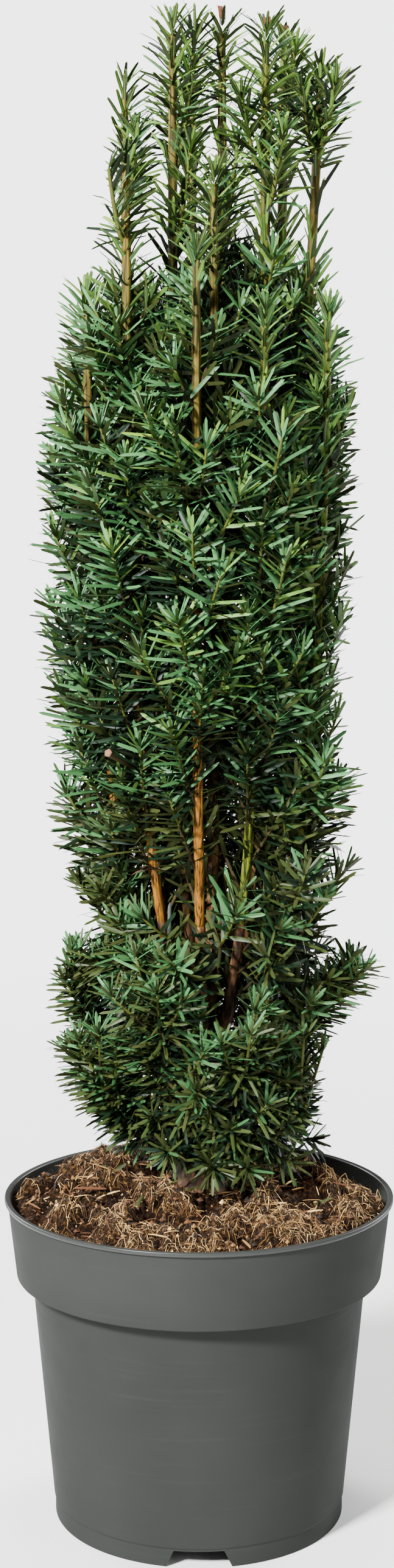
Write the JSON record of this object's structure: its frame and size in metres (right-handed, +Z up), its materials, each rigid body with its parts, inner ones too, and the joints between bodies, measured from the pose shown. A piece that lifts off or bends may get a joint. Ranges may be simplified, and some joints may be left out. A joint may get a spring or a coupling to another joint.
{
  "type": "potted columnar yew",
  "caption": "Narrow upright evergreen shrub with short needles on several leaders, standing in a round plastic nursery pot filled with fibrous soil.",
  "frame": {"origin": "middle of the pot's underside, where it stands on the ground", "axes": "+Z up along the plant, -Y towards the front of the picture, +X to its right"},
  "size_m": [0.28, 0.28, 1.067],
  "materials": {
    "pot": "grey-green moulded plastic with a fine satin grain",
    "soil": "moist peat and coir with pale loose fibres",
    "bark": "reddish-brown flaking bark, greenish on the young stems",
    "needles": "dark green flat needles with a soft satin upper side and a paler underside"
  },
  "bodies": {
    "root": {"bough_back": "bark", "bough_back_left": "bark", "bough_back_right": "bark", "bough_centre": "bark", "bough_centre_left": "bark", "bough_centre_right": "bark", "bough_front": "bark", "bough_front_left": "bark", "bough_front_right": "bark", "bough_inner_back": "bark", "bough_inner_front": "bark", "bough_inner_left": "bark", "bough_inner_right": "bark", "bough_left": "bark", "bough_right": "bark", "bough_side_left": "bark", "bough_side_right": "bark", "foliage_back": "needles", "foliage_back_left": "needles", "foliage_back_right": "needles", "foliage_centre": "needles", "foliage_centre_left": "needles", "foliage_centre_right": "needles", "foliage_front": "needles", "foliage_front_left": "needles", "foliage_front_right": "needles", "foliage_inner_back": "needles", "foliage_inner_front": "needles", "foliage_inner_left": "needles", "foliage_inner_right": "needles", "foliage_left": "needles", "foliage_low_back": "needles", "foliage_low_back_left": "needles", "foliage_low_back_right": "needles", "foliage_low_front_left": "needles", "foliage_low_front_right": "needles", "foliage_low_left": "needles", "foliage_low_left_foot": "needles", "foliage_low_right": "needles", "foliage_low_right_foot": "needles", "foliage_right": "needles", "foliage_side_left": "needles", "foliage_side_right": "needles", "pot": "pot", "soil": "soil", "trunk": "bark"}
  },
  "joints": []
}
